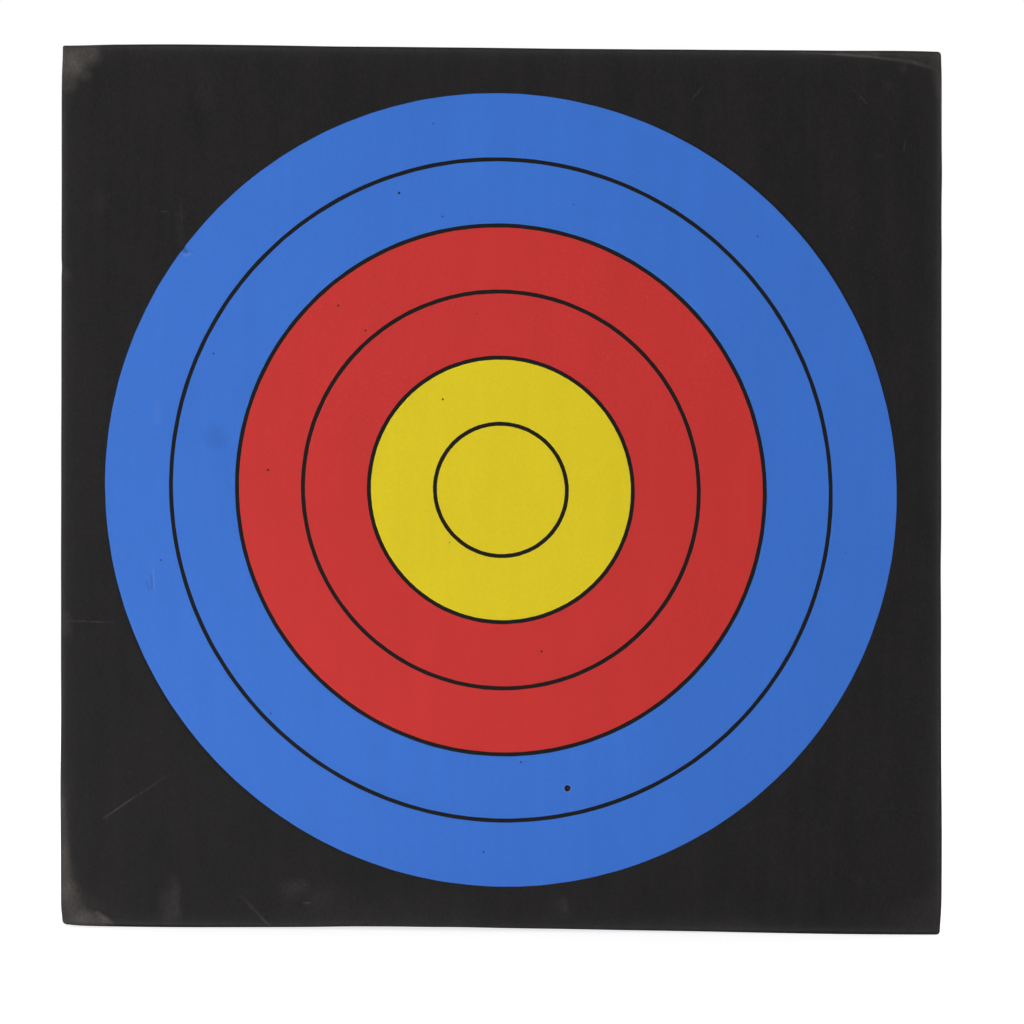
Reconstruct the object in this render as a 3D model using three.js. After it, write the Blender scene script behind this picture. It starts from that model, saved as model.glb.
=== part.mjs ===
// Archery target boss: a square laminated foam block with a six-zone target face printed on its front.
//
// Millimetres, +Z up. The boss stands on its lower edge, and the printed face looks along -Y.
// The origin is the middle of the block's footprint, so the block spans z = 0 to its height.
//
// Behind the ink lie a thin facing sheet, the thick core sheets that stop the arrows, and a second
// facing sheet, all of closed-cell foam, each joined to the next by a film of contact adhesive.
import * as THREE from "three";

// Driving dimensions.
const block = {
  side: 600, // width and height of the square
  cornerRadius: 4, // plan radius of the four knife-cut corners
  seatGap: 0.02, // air left between two faces that lie on each other
};

const facing = {
  thickness: 5,
  rollDepth: 3, // how far back the outer arris is rolled over, measured from the face
  rollInset: 3, // how far in from the flank that roll starts
  cornerSoftening: 11, // how much wider the roll's corners are than the cut corners
};

const core = {
  thickness: 20,
  count: 3,
};

const seam = {
  ease: 0.6, // rounding of every sheet's edge where it meets an adhesive film
  filmThickness: 0.3,
  filmSetback: 2, // how far the film stops short of the flanks
};

const print = {
  margin: 30, // bare foam between the outermost ring and the middle of each edge
  dividingLine: 2.9, // bare foam left between two rings
  inkThickness: 0.12,
};

// The printed zones from the middle outwards.
const zones = [
  { name: "inner_yellow_print", ink: "yellow" },
  { name: "outer_yellow_print", ink: "yellow" },
  { name: "inner_red_print", ink: "red" },
  { name: "outer_red_print", ink: "red" },
  { name: "inner_blue_print", ink: "blue" },
  { name: "outer_blue_print", ink: "blue" },
];

// How finely the round stretches are cut.
const facets = {
  corner: 8, // steps round one plan corner, an even number
  roll: 6, // steps over a rolled arris
  ease: 2, // steps over an eased seam edge
  ring: 120, // steps round a printed ring
};

const materials = {
  facing: new THREE.MeshStandardMaterial({ color: 0x282626, roughness: 0.72, metalness: 0 }),
  core: new THREE.MeshStandardMaterial({ color: 0x222121, roughness: 0.9, metalness: 0 }),
  film: new THREE.MeshStandardMaterial({ color: 0x3a342a, roughness: 0.35, metalness: 0 }),
  yellow: new THREE.MeshStandardMaterial({ color: 0xd7c328, roughness: 0.6, metalness: 0 }),
  red: new THREE.MeshStandardMaterial({ color: 0xc23835, roughness: 0.6, metalness: 0 }),
  blue: new THREE.MeshStandardMaterial({ color: 0x3d6fc7, roughness: 0.6, metalness: 0 }),
};

const halfTurn = Math.PI;
const quarterTurn = halfTurn / 2;

// The outline of a square with round corners, in the X-Z plane, as points in a fixed order. A shape
// cuts an arc into twice as many pieces as it is asked for, and a straight side into one.
function roundedSquare(half, radius) {
  const straight = half - radius;
  const shape = new THREE.Shape();
  const corners = [
    [straight, -straight],
    [straight, straight],
    [-straight, straight],
    [-straight, -straight],
  ];
  corners.forEach(([x, z], i) => {
    const start = (i - 1) * quarterTurn;
    shape.absarc(x, z, radius, start, start + quarterTurn, false);
  });
  return shape.getPoints(facets.corner / 2);
}

// A closed solid lofted through outlines that all have the same number of points. Each level gives
// its depth along +Y, how far it is drawn in from the flank, and its corner radius.
function loftedSheet(levels) {
  const half = block.side / 2;
  const outlines = levels.map(({ inset, radius }) => roundedSquare(half - inset, radius));
  const count = outlines[0].length;
  const positions = outlines.flatMap((outline, k) =>
    outline.flatMap(({ x, y }) => [x, levels[k].depth, y]),
  );
  const index = [];
  for (let k = 0; k + 1 < levels.length; k++) {
    for (let i = 0; i < count; i++) {
      const here = k * count + i;
      const next = k * count + ((i + 1) % count);
      index.push(here, next + count, next);
      index.push(here, here + count, next + count);
    }
  }
  const lastLevel = (levels.length - 1) * count;
  for (const [a, b, c] of THREE.ShapeUtils.triangulateShape(outlines[0], [])) {
    index.push(a, b, c);
  }
  for (const [a, b, c] of THREE.ShapeUtils.triangulateShape(outlines.at(-1), [])) {
    index.push(lastLevel + a, lastLevel + c, lastLevel + b);
  }
  const geometry = new THREE.BufferGeometry();
  geometry.setAttribute("position", new THREE.Float32BufferAttribute(positions, 3));
  geometry.setIndex(index);
  geometry.computeVertexNormals();
  return geometry;
}

// The levels of a rounded edge, from the face to the flank: a quarter of an ellipse, along which the
// corner radius narrows from faceRadius to the cut corner's own.
function roundedEdge({ depth, inset, faceRadius, steps }) {
  return Array.from({ length: steps + 1 }, (_, k) => {
    const turn = (k / steps) * quarterTurn;
    const outwards = Math.sin(turn);
    return {
      depth: depth * (1 - Math.cos(turn)),
      inset: inset * (1 - outwards),
      radius: faceRadius + (block.cornerRadius - faceRadius) * outwards,
    };
  });
}

// The small rounding that every sheet has at a seam.
function seamEdge() {
  return roundedEdge({
    depth: seam.ease,
    inset: seam.ease,
    faceRadius: block.cornerRadius - seam.ease,
    steps: facets.ease,
  });
}

// The wide roll of a facing sheet's outer arris, softest at the corners.
function faceRoll() {
  return roundedEdge({
    depth: facing.rollDepth,
    inset: facing.rollInset,
    faceRadius: block.cornerRadius + facing.cornerSoftening,
    steps: facets.roll,
  });
}

// Turns an edge's levels round, so that it ends at the sheet's rear face.
function asRearEdge(levels, thickness) {
  return levels
    .map((level) => ({ ...level, depth: thickness - level.depth }))
    .reverse();
}

function frontFacingGeometry() {
  return loftedSheet([...faceRoll(), ...asRearEdge(seamEdge(), facing.thickness)]);
}

function rearFacingGeometry() {
  return loftedSheet([...seamEdge(), ...asRearEdge(faceRoll(), facing.thickness)]);
}

function coreGeometry() {
  return loftedSheet([...seamEdge(), ...asRearEdge(seamEdge(), core.thickness)]);
}

// The adhesive film stops short of the flanks, which leaves the fine groove that a seam shows.
function filmGeometry() {
  const edge = { inset: seam.filmSetback, radius: block.cornerRadius };
  return loftedSheet([
    { ...edge, depth: 0 },
    { ...edge, depth: seam.filmThickness },
  ]);
}

// One printed zone: a flat ring of ink, revolved about the boss's Y axis. The middle one is a disc.
// Two neighbours stop half a dividing line short of the circle between them.
function zoneGeometry(place) {
  const pitch = (block.side / 2 - print.margin) / zones.length;
  const halfLine = print.dividingLine / 2;
  const isMiddle = place === 0;
  const isOutermost = place === zones.length - 1;
  const innerRadius = isMiddle ? 0 : place * pitch + halfLine;
  const outerRadius = (place + 1) * pitch - (isOutermost ? 0 : halfLine);
  const profile = [
    new THREE.Vector2(innerRadius, 0),
    new THREE.Vector2(outerRadius, 0),
    new THREE.Vector2(outerRadius, print.inkThickness),
    new THREE.Vector2(innerRadius, print.inkThickness),
  ];
  if (!isMiddle) profile.push(profile[0].clone());
  return new THREE.LatheGeometry(profile, facets.ring);
}

// What the boss is laid up from, front to rear: each layer's thickness and the pieces lying in it.
function layers() {
  const printed = {
    thickness: print.inkThickness,
    pieces: zones.map(({ name, ink }, i) => ({ name, geometry: zoneGeometry(i), finish: ink })),
  };
  const front = {
    thickness: facing.thickness,
    pieces: [{ name: "front_facing_sheet", geometry: frontFacingGeometry(), finish: "facing" }],
  };
  const film = (number) => ({
    thickness: seam.filmThickness,
    pieces: [{ name: `adhesive_film_${number}`, geometry: filmGeometry(), finish: "film" }],
  });
  const coreSheet = (number) => ({
    thickness: core.thickness,
    pieces: [{ name: `core_sheet_${number}`, geometry: coreGeometry(), finish: "core" }],
  });
  const rear = {
    thickness: facing.thickness,
    pieces: [{ name: "rear_facing_sheet", geometry: rearFacingGeometry(), finish: "facing" }],
  };
  const stack = [printed, front];
  for (let number = 1; number <= core.count; number++) {
    stack.push(film(number), coreSheet(number));
  }
  stack.push(film(core.count + 1), rear);
  return stack;
}

// Lays the layers one behind the other, centred on the footprint, and stands the block upright.
function assemble() {
  const stack = layers();
  const gaps = (stack.length - 1) * block.seatGap;
  const total = stack.reduce((sum, layer) => sum + layer.thickness, gaps);
  const upright = new THREE.Group();
  upright.position.z = block.side / 2;
  let depth = -total / 2;
  for (const layer of stack) {
    for (const { name, geometry, finish } of layer.pieces) {
      const piece = new THREE.Mesh(geometry, materials[finish]);
      piece.name = name;
      piece.position.y = depth;
      upright.add(piece);
    }
    depth += layer.thickness + block.seatGap;
  }
  const boss = new THREE.Group();
  boss.add(upright);
  return boss;
}

const boss = assemble();

export default boss;
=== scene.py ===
"""Finish of the archery target boss: worn black foam sheets, screen-printed rings, studio light.

Metres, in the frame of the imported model: +Z up, the printed face looks along -Y, and the boss stands
on z = 0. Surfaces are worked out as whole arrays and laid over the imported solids.
"""

import math

import bpy
import numpy as np
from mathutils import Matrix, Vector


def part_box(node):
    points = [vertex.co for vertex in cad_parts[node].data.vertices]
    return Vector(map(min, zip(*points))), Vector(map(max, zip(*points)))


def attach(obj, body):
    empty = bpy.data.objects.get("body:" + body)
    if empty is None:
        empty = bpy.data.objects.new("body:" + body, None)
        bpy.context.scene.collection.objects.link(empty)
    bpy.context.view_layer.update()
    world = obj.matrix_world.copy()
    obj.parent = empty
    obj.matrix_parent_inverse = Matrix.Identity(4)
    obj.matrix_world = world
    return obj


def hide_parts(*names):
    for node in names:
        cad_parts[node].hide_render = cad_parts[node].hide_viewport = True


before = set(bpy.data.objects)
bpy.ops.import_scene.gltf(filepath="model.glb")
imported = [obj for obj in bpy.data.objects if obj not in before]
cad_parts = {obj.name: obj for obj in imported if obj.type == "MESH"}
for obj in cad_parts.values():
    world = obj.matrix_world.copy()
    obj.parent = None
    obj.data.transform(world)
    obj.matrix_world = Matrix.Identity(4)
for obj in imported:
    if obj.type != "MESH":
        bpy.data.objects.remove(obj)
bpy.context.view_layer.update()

MM = 0.001

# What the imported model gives.

SHEETS = ("front_facing_sheet", "core_sheet_1", "core_sheet_2", "core_sheet_3", "rear_facing_sheet")
FILMS = ("adhesive_film_1", "adhesive_film_2", "adhesive_film_3", "adhesive_film_4")
ZONES = (
    ("inner_yellow_print", "yellow_ink"),
    ("outer_yellow_print", "yellow_ink"),
    ("inner_red_print", "red_ink"),
    ("outer_red_print", "red_ink"),
    ("inner_blue_print", "blue_ink"),
    ("outer_blue_print", "blue_ink"),
)

front_low, front_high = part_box("front_facing_sheet")
ink_low, ink_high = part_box("outer_blue_print")
HALF = front_high.x  # half the block's nominal side
FACE_Y = front_low.y
INK_FRONT = FACE_Y - ink_low.y  # how far in front of the sheet the ink's two faces lie
INK_BACK = FACE_Y - ink_high.y

# Where the random draws of each kind of piece start, so that every run gives the same result.
SEEDS = {"slow waves": 11, "fine waves": 12, "back": 21, "sheets": 31, "print rims": 40, "films": 51}

# The block as it was cut by hand: a little out of square, with humps and hollows along its edges. It
# stands on the humps of its lower edge, so its middle is a little higher than its solid's.

LEAN = -0.00845  # how far the upright edges run to the right for each unit that they rise
CUT_IN_X = 0.68 * MM  # how far inside its nominal square the block was cut
CUT_IN_Z = 0.28 * MM
LIFT = 1.02 * MM
HALF_WIDTH = HALF - CUT_IN_X
HALF_HEIGHT = HALF - CUT_IN_Z
CENTRE_Z = (front_low.z + front_high.z) / 2 + LIFT
OUTLINE_REACH = 0.2  # share of the half width over which an edge's humps fade out inwards

# Humps and hollows of each edge in millimetres: where along the edge, how long, how high.
EDGE_HUMPS = {
    "left": (
        (0, 900, 0.2),
        (299, 16, -0.82),
        (-300, 8, -1.15),
        (148, 4, -0.35),
        (-40, 110, 0.16),
        (-208, 30, 0.4),
    ),
    "right": (
        (0, 900, 0.2),
        (298, 10, -0.4),
        (219, 14, 0.25),
        (165, 14, 0.22),
        (-55, 25, -0.42),
        (-250, 60, 0.68),
        (-300, 14, -1.18),
    ),
    "top": (
        (0, 900, 0.15),
        (-200, 70, 0.42),
        (-300, 32, -1.3),
        (262, 90, 0.62),
        (232, 32, -0.22),
        (165, 22, 0.1),
        (74, 30, -0.18),
        (298, 10, -0.2),
    ),
    "bottom": (
        (-235, 75, 0.9),
        (-103, 20, -0.22),
        (-50, 62, -1.1),
        (-50, 18, 0.22),
        (42, 35, -0.3),
        (125, 60, -0.12),
        (242, 112, 1.3),
        (-297, 8, -0.65),
    ),
}

# Plan radius of each cut corner, by its side and its end.
CORNER_RADIUS = {
    ("left", "top"): 1.1 * MM,
    ("right", "top"): 2.5 * MM,
    ("left", "bottom"): 3.2 * MM,
    ("right", "bottom"): 2.2 * MM,
}

# Rolled outer arris of a facing sheet, and the small rounding beside a seam.
ROLL_DEPTH = 3 * MM
ROLL_INSET = 2.6 * MM
ROLL_SOFTENING = 5 * MM
ROLL_STEPS = 8
SEAM_EASE = 0.8 * MM
SEAM_STEPS = 3

# The flat flank between them, where the knife drifted slowly in and out.
FLANK_STEP = 3 * MM  # about how far apart its rows lie
BLADE_DRIFT = 0.1 * MM
BLADE_WAVES = (0.11, 0.07, 0.031)
BLADE_SQUEEZE = 6  # how much shorter those waves are through the sheet than along it
RESTING_BAND = 5 * MM  # height of the lower flank that stays straight, so that the block stands well

# Slow and fine waves of the printed face, and waves of the back: their lengths and their height.
FACE_BACK = 0.2 * MM  # how far behind its solid's face the printed face lies on average
SLOW_WAVES = (0.31, 0.22, 0.17)
SLOW_HEIGHT = 0.16 * MM
FINE_WAVES = (0.06, 0.045)
FINE_HEIGHT = 0.025 * MM
BACK_WAVES = (0.29, 0.2, 0.13)
BACK_HEIGHT = 0.3 * MM

# The adhesive films stop at a wandering line inside the flanks.
FILM_SETBACK = 1.7 * MM
FILM_WANDER = 0.9 * MM
FILM_WAVES = (0.08, 0.047, 0.023, 0.012)

# Corners that were knocked and pressed, in millimetres. Beside its edge the pressed band starts this
# wide at the corner and narrows over the given length. A higher power keeps its width up for longer.
PRESSED = (
    # beside, towards, width, length, power, depth
    ("top", "right", 13, 35, 1, 1.4),
    ("right", "top", 12, 16, 1, 1.0),
    ("left", "bottom", 34, 28, 1, 1.4),
    ("left", "top", 27, 34, 2, 0.8),
    ("right", "bottom", 8, 14, 1, 0.5),
)
PRESS_POWER = 1.4  # above 1, so that a pressed band steepens towards its edge
THINNEST_BAND = 0.001 * MM

# How much paler the face is painted beside each edge: close to the arris, for wear and for a painted
# highlight where the rolled edge turns to the lamps, and farther in, a painted highlight alone where the
# gently rounded margin catches the light.
ARRIS_WEAR_AND_HIGHLIGHT = {"left": 0.19, "right": 0.36, "bottom": 0.22, "top": 0.28}
ARRIS_WEAR_AND_HIGHLIGHT_REACH = 1.9 * MM
MARGIN_HIGHLIGHT = {"left": 0.05, "right": 0.03, "bottom": 0.055, "top": 0.045}
MARGIN_HIGHLIGHT_REACH = 8 * MM
ROLL_TURNED = (0.5 * MM, 1.7 * MM)  # gaps to the edge between which the roll turns away
RIM_PALING_ENDS = (2.5 * MM, 4.5 * MM)  # depths behind the face between which the painted paling fades out

# The print. The screen laid it slightly skewed, and slightly small.
PITCH = 45 * MM
DIVIDING_LINE = 2.75 * MM
PRINT_SCALE_X = 0.99664
PRINT_SCALE_Z = 0.99862
PRINT_SKEW = -0.0073
PRINT_SHIFT_X = -0.25 * MM
PRINT_SHIFT_Z = -0.96 * MM
INK_EDGE_WANDER = 0.1 * MM
RIM_WAVES = ((17, 41, 83), (23, 52, 97))  # waves round a zone's inner rim, and round its outer one
PHASE_RANGE = 6.3  # a little over a full turn
ZONE_STEPS = 240  # steps round the middle zone, and as many more for each zone outwards
ZONE_ROWS = 18
RIM_ROWS = (0, 0.12 * MM, 0.4 * MM)  # rows this close to each rim keep the ink's own edge crisp

# The camera, square to the face.
CAMERA_DISTANCE = 3.0
PHOTO_SIZE = 1024
PIXELS_PER_METRE = 1471.2  # on the plane of the printed face
CAMERA_ROLL = math.radians(0.54)
AIM_X = 7.43 * MM
AIM_Z = -15.9 * MM
SENSOR = 36.0


def seen_at(px, py):
    """The place on the printed face, x and z, that the photograph shows at a pixel."""
    right = (px + 0.5 - PHOTO_SIZE / 2) / PIXELS_PER_METRE
    up = (PHOTO_SIZE / 2 - py - 0.5) / PIXELS_PER_METRE
    x = right * math.cos(CAMERA_ROLL) - up * math.sin(CAMERA_ROLL) + AIM_X
    z = right * math.sin(CAMERA_ROLL) + up * math.cos(CAMERA_ROLL) + AIM_Z
    return x, z + CENTRE_Z


# The one arrow's hole. Its funnel is a list of shares of its radius and depths in millimetres, and
# soon ends, because the foam closes behind an arrow.
ARROW_HOLE_SEEN = (567.0, 787.8)
ARROW_HOLE = seen_at(*ARROW_HOLE_SEEN)
ARROW_HOLE_RADIUS = 1.6 * MM
FUNNEL = ((1.9, -1.0), (1.15, -0.1), (1.0, 0.35), (0.9, 0.9), (0.75, 1.5))
FUNNEL_SIDES = 48
FUNNEL_LOBES = 3
FUNNEL_UNEVENNESS = 0.05
LIP_HEIGHT = 0.3 * MM
LIP_WIDTH = 1.2 * MM

# The nick in the outermost rim.
NICK = seen_at(184, 249)
NICK_LENGTH = 2.2 * MM
NICK_DEPTH = 0.38 * MM


# Shapes


def smooth(value, low, high):
    """0 below low, 1 above high, and between them 3 t^2 - 2 t^3, where t runs from 0 to 1."""
    t = np.clip((value - low) / (high - low), 0, 1)
    return t * t * (3 - 2 * t)


def edge_offset(name, along):
    """How far an edge stands out: each hump adds height * exp(-((along - place) / length)^2)."""
    total = np.zeros_like(along)
    for place, length, height in EDGE_HUMPS[name]:
        total += height * MM * np.exp(-(((along - place * MM) / (length * MM)) ** 2))
    return total


def waves(a, b, seed, lengths):
    """Smooth unevenness between -1 and 1: the mean of sines of the given wavelengths, each in a
    direction and with a phase drawn from the seed."""
    draw = np.random.default_rng(seed)
    total = np.zeros_like(a)
    for length in lengths:
        turn, phase = draw.uniform(0, 2 * np.pi, 2)
        total += np.sin(2 * np.pi * (a * np.cos(turn) + b * np.sin(turn)) / length + phase)
    return total / len(lengths)


def laid_out(u, v, inset, softening):
    """Carries shares u and v of the half width and height to the cut block's outline, x and z.

    A square's rings become a round-cornered square's: the part of a point that lies in a corner's
    own square, with largest coordinate m and length h, is multiplied by m / h. Then each edge takes
    its humps, and the uprights lean."""
    half_x = HALF_WIDTH - inset
    half_z = HALF_HEIGHT - inset
    x = u * half_x
    z = v * half_z
    radius = np.select(
        [(x < 0) & (z > 0), (x >= 0) & (z > 0), x < 0],
        [
            CORNER_RADIUS["left", "top"],
            CORNER_RADIUS["right", "top"],
            CORNER_RADIUS["left", "bottom"],
        ],
        CORNER_RADIUS["right", "bottom"],
    )
    radius = radius + softening
    centre_x = np.clip(x, radius - half_x, half_x - radius)
    centre_z = np.clip(z, radius - half_z, half_z - radius)
    across = x - centre_x
    up = z - centre_z
    length = np.hypot(across, up)
    longest = np.maximum(np.abs(across), np.abs(up))
    share = np.divide(longest, length, out=np.ones_like(length), where=length > 0)
    x = centre_x + across * share
    z = centre_z + up * share
    fade_x = smooth(np.abs(x) / half_x, 1 - OUTLINE_REACH, 1)
    fade_z = smooth(np.abs(z) / half_z, 1 - OUTLINE_REACH, 1)
    x_out = np.where(x < 0, -edge_offset("left", z), edge_offset("right", z)) * fade_x
    z_out = np.where(z < 0, -edge_offset("bottom", x), edge_offset("top", x)) * fade_z
    return x + x_out + LEAN * z, z + z_out + CENTRE_Z


def edge_distances(x, z):
    """Distances in from the left, right, bottom and top edges, of a point of the block."""
    height = z - CENTRE_Z
    upright = x - LEAN * height
    return {
        "left": HALF_WIDTH + upright,
        "right": HALF_WIDTH - upright,
        "bottom": HALF_HEIGHT + height,
        "top": HALF_HEIGHT - height,
    }


def pressing(x, z):
    """How far the knocked corners were pressed in, at each point of the face.

    Beside its edge a band is width * exp(-(distance along the edge / length)^power) wide. The press
    falls from 1 at the edge to 0 at the band's inner side, and the depth goes with a power of it."""
    gap = edge_distances(x, z)
    depth = np.zeros_like(x)
    for beside, towards, width, length, power, deepest in PRESSED:
        run = np.maximum(gap[towards], 0) / (length * MM)
        band = width * MM * np.exp(-(run ** power))
        press = np.clip(1 - gap[beside] / np.maximum(band, THINNEST_BAND), 0, 1)
        depth = np.maximum(depth, deepest * MM * press ** PRESS_POWER)
    return depth


def face_relief(x, z):
    """How far the printed face lies behind its plane: slow waves of the foam, and pressed corners."""
    slow = waves(x, z, SEEDS["slow waves"], SLOW_WAVES) * SLOW_HEIGHT
    fine = waves(x, z, SEEDS["fine waves"], FINE_WAVES) * FINE_HEIGHT
    return FACE_BACK + slow + fine + pressing(x, z)


def arrow_lip(x, z):
    """How far the arrow raised the skin beside its hole: height * exp(-(gap to the hole / width)^2)."""
    gap = np.hypot(x - ARROW_HOLE[0], z - ARROW_HOLE[1]) - ARROW_HOLE_RADIUS
    return LIP_HEIGHT * np.exp(-((gap / LIP_WIDTH) ** 2))


def gathered(count, gather):
    """count + 1 shares from -1 to 1, drawn towards both ends: t + gather * sin(pi t) / pi."""
    t = np.linspace(-1, 1, count + 1)
    return t + gather * np.sin(np.pi * t) / np.pi


def make_mesh(name, points, faces):
    """A mesh object at the origin from an array of points and a list of arrays of faces."""
    mesh = bpy.data.meshes.new(name)
    loops = np.concatenate([f.ravel() for f in faces]).astype(np.int32)
    sizes = np.concatenate([np.full(len(f), f.shape[1]) for f in faces]).astype(np.int32)
    starts = np.concatenate([[0], np.cumsum(sizes)[:-1]]).astype(np.int32)
    mesh.vertices.add(len(points))
    mesh.vertices.foreach_set("co", points.astype(np.float32).ravel())
    mesh.loops.add(len(loops))
    mesh.loops.foreach_set("vertex_index", loops)
    mesh.polygons.add(len(sizes))
    mesh.polygons.foreach_set("loop_start", starts)
    mesh.polygons.foreach_set("use_smooth", np.ones(len(sizes), bool))
    mesh.update(calc_edges=True)
    mesh.validate()
    piece = bpy.data.objects.new(name, mesh)
    bpy.context.scene.collection.objects.link(piece)
    return piece


def set_value(piece, name, values):
    """Stores one number for each point of a piece, which a material reads by its name."""
    layer = piece.data.attributes.new(name, "FLOAT", "POINT")
    layer.data.foreach_set("value", values.astype(np.float32))


def loft(rings, front, rear):
    """Points and faces of a closed block: a stack of rings of points from the front to the rear, with
    a cap at each end. A cap is either a grid, whose rim is the ring itself, or a fan to a point."""
    count = rings[0].shape[0]
    points = [np.concatenate(rings)]
    total = count * len(rings)
    here = np.arange(count)
    after = (here + 1) % count
    faces = []
    for k in range(len(rings) - 1):
        base = k * count
        faces.append(np.stack([base + here, base + count + here, base + count + after, base + after], 1))
    for cap, ring, turned in ((front, 0, False), (rear, len(rings) - 1, True)):
        base = ring * count
        if cap is None:
            points.append(rings[ring].mean(axis=0)[None])
            fan = np.stack([base + here, base + after, np.full(count, total)], 1)
            faces.append(fan[:, ::-1] if turned else fan)
            total += 1
            continue
        side = cap.shape[0]
        index = np.full((side, side), -1)
        rim_i, rim_j = rim_indices(side)
        index[rim_i, rim_j] = base + here
        index[1:-1, 1:-1] = total + np.arange((side - 2) ** 2).reshape(side - 2, side - 2)
        points.append(cap[1:-1, 1:-1].reshape(-1, 3))
        total += (side - 2) ** 2
        corners = [index[:-1, :-1], index[1:, :-1], index[1:, 1:], index[:-1, 1:]]
        quads = np.stack(corners, -1).reshape(-1, 4)
        faces.append(quads[:, ::-1] if turned else quads)
    return np.concatenate(points), faces


def rim_indices(side):
    """Row and column of a square grid's rim, once round, anticlockwise as seen from the front."""
    last = side - 1
    run = np.arange(last)
    i = np.concatenate([run, np.full(last, last), last - run, np.zeros(last, int)])
    j = np.concatenate([np.zeros(last, int), run, np.full(last, last), last - run])
    return i, j


# The grid of a whole face: how many squares lie along each side, and how far they are gathered
# towards the edges.
GRID = 236
GATHER = 0.62
shares = gathered(GRID, GATHER)
grid_u, grid_v = np.meshgrid(shares, shares, indexing="ij")
rim_u = grid_u[rim_indices(GRID + 1)]
rim_v = grid_v[rim_indices(GRID + 1)]


def rounded_levels(depth, inset, softening, steps):
    """Levels of a quarter-ellipse edge, from the face to the flank: for a turn t from 0 to 90 degrees
    the depth is depth * (1 - cos t), and inset and softening are each multiplied by 1 - sin t."""
    turn = np.linspace(0, np.pi / 2, steps + 1)
    left = 1 - np.sin(turn)
    return np.stack([depth * (1 - np.cos(turn)), inset * left, softening * left], 1)


def flank_levels(thickness, rolled_front, rolled_rear):
    """Depth, inset and softening of every level of a sheet, from its front to its rear face."""
    seam = rounded_levels(SEAM_EASE, SEAM_EASE, 0, SEAM_STEPS)
    roll = rounded_levels(ROLL_DEPTH, ROLL_INSET, ROLL_SOFTENING, ROLL_STEPS)
    front = roll if rolled_front else seam
    rear = (roll if rolled_rear else seam)[::-1].copy()
    rear[:, 0] = thickness - rear[:, 0]
    start = front[-1, 0]
    end = rear[0, 0]
    between = np.linspace(start, end, 2 + round((end - start) / FLANK_STEP))[1:-1]
    flat = np.stack([between, np.zeros_like(between), np.zeros_like(between)], 1)
    return np.concatenate([front, flat, rear])


def make_sheet(name, seed, rolled_front=False, rolled_rear=False):
    """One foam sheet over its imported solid, with its cut flank and, where it shows, its whole face."""
    low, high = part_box(name)
    thickness = high.y - low.y
    levels = flank_levels(thickness, rolled_front, rolled_rear)

    def placed(u, v, depth, inset, softening):
        """Points of one level. A whole face's relief fades out evenly through the sheet behind it."""
        x, z = laid_out(u, v, inset, softening)
        back = face_relief(x, z) * (1 - depth / thickness) if rolled_front else 0
        if rolled_rear:
            hollows = np.abs(waves(x, z, SEEDS["back"], BACK_WAVES)) * BACK_HEIGHT
            back = back - hollows * (depth / thickness)
        return np.stack([x, low.y + depth + back + np.zeros_like(x), z], -1)

    rings = []
    for depth, inset, softening in levels:
        ring = placed(rim_u, rim_v, depth, inset, softening)
        # a knife's slow drift along the flank, on the flat part of it alone
        along = ring[:, 0] + ring[:, 2]
        drift = waves(along, ring[:, 1] * BLADE_SQUEEZE, seed, BLADE_WAVES) * BLADE_DRIFT
        flat = 1 - min(1, inset / SEAM_EASE)
        outward = ring[:, [0, 2]] - [0, CENTRE_Z]
        outward /= np.abs(outward).max(axis=1, keepdims=True)
        upper = ring[:, 2] > front_low.z + RESTING_BAND
        ring[:, [0, 2]] += outward * (drift * flat * upper)[:, None]
        rings.append(ring)
    front = placed(grid_u, grid_v, *levels[0]) if rolled_front else None
    rear = placed(grid_u, grid_v, *levels[-1]) if rolled_rear else None
    points, faces = loft(rings, front, rear)
    piece = make_mesh(name + "_foam", points, faces)
    # the rim attribute: how much paler a face is painted near its edges, for wear and for a painted
    # highlight
    for rolled, face in ((rolled_front, low.y), (rolled_rear, high.y)):
        if rolled:
            set_value(piece, "rim", rim_wear_and_highlight(points, face))
    return piece


def rim_wear_and_highlight(points, face):
    """How much paler a face is painted towards its edges: wear and a painted highlight on the rolled arris,
    and a painted highlight alone farther in. Each edge adds arris * exp(-gap / arris reach), which fades
    out where the roll turns away, and margin * exp(-gap / margin reach)."""
    x, y, z = points.T
    paled = np.zeros_like(x)
    for edge, gap in edge_distances(x, z).items():
        inside = np.maximum(gap, 0)
        turned = smooth(inside, *ROLL_TURNED)
        paled += ARRIS_WEAR_AND_HIGHLIGHT[edge] * np.exp(-inside / ARRIS_WEAR_AND_HIGHLIGHT_REACH) * turned
        paled += MARGIN_HIGHLIGHT[edge] * np.exp(-inside / MARGIN_HIGHLIGHT_REACH)
    return paled * (1 - smooth(np.abs(y - face), *RIM_PALING_ENDS))


def make_film(name, seed):
    """A film of contact adhesive that stops at a wandering line short of the flanks."""
    low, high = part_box(name)
    wander = waves(rim_u * HALF, rim_v * HALF, seed, FILM_WAVES) * FILM_WANDER
    x, z = laid_out(rim_u, rim_v, FILM_SETBACK + wander, 0)
    rings = [np.stack([x, np.full_like(x, y), z], -1) for y in (low.y, high.y)]
    points, faces = loft(rings, None, None)
    return make_mesh(name + "_glue", points, faces)


def printed(x, z):
    """Where the screen laid a point of the ideal ring face: a slight stretch, skew and shift."""
    return (
        PRINT_SCALE_X * x + PRINT_SKEW * z + PRINT_SHIFT_X,
        PRINT_SKEW * x + PRINT_SCALE_Z * z + PRINT_SHIFT_Z + CENTRE_Z,
    )


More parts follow.
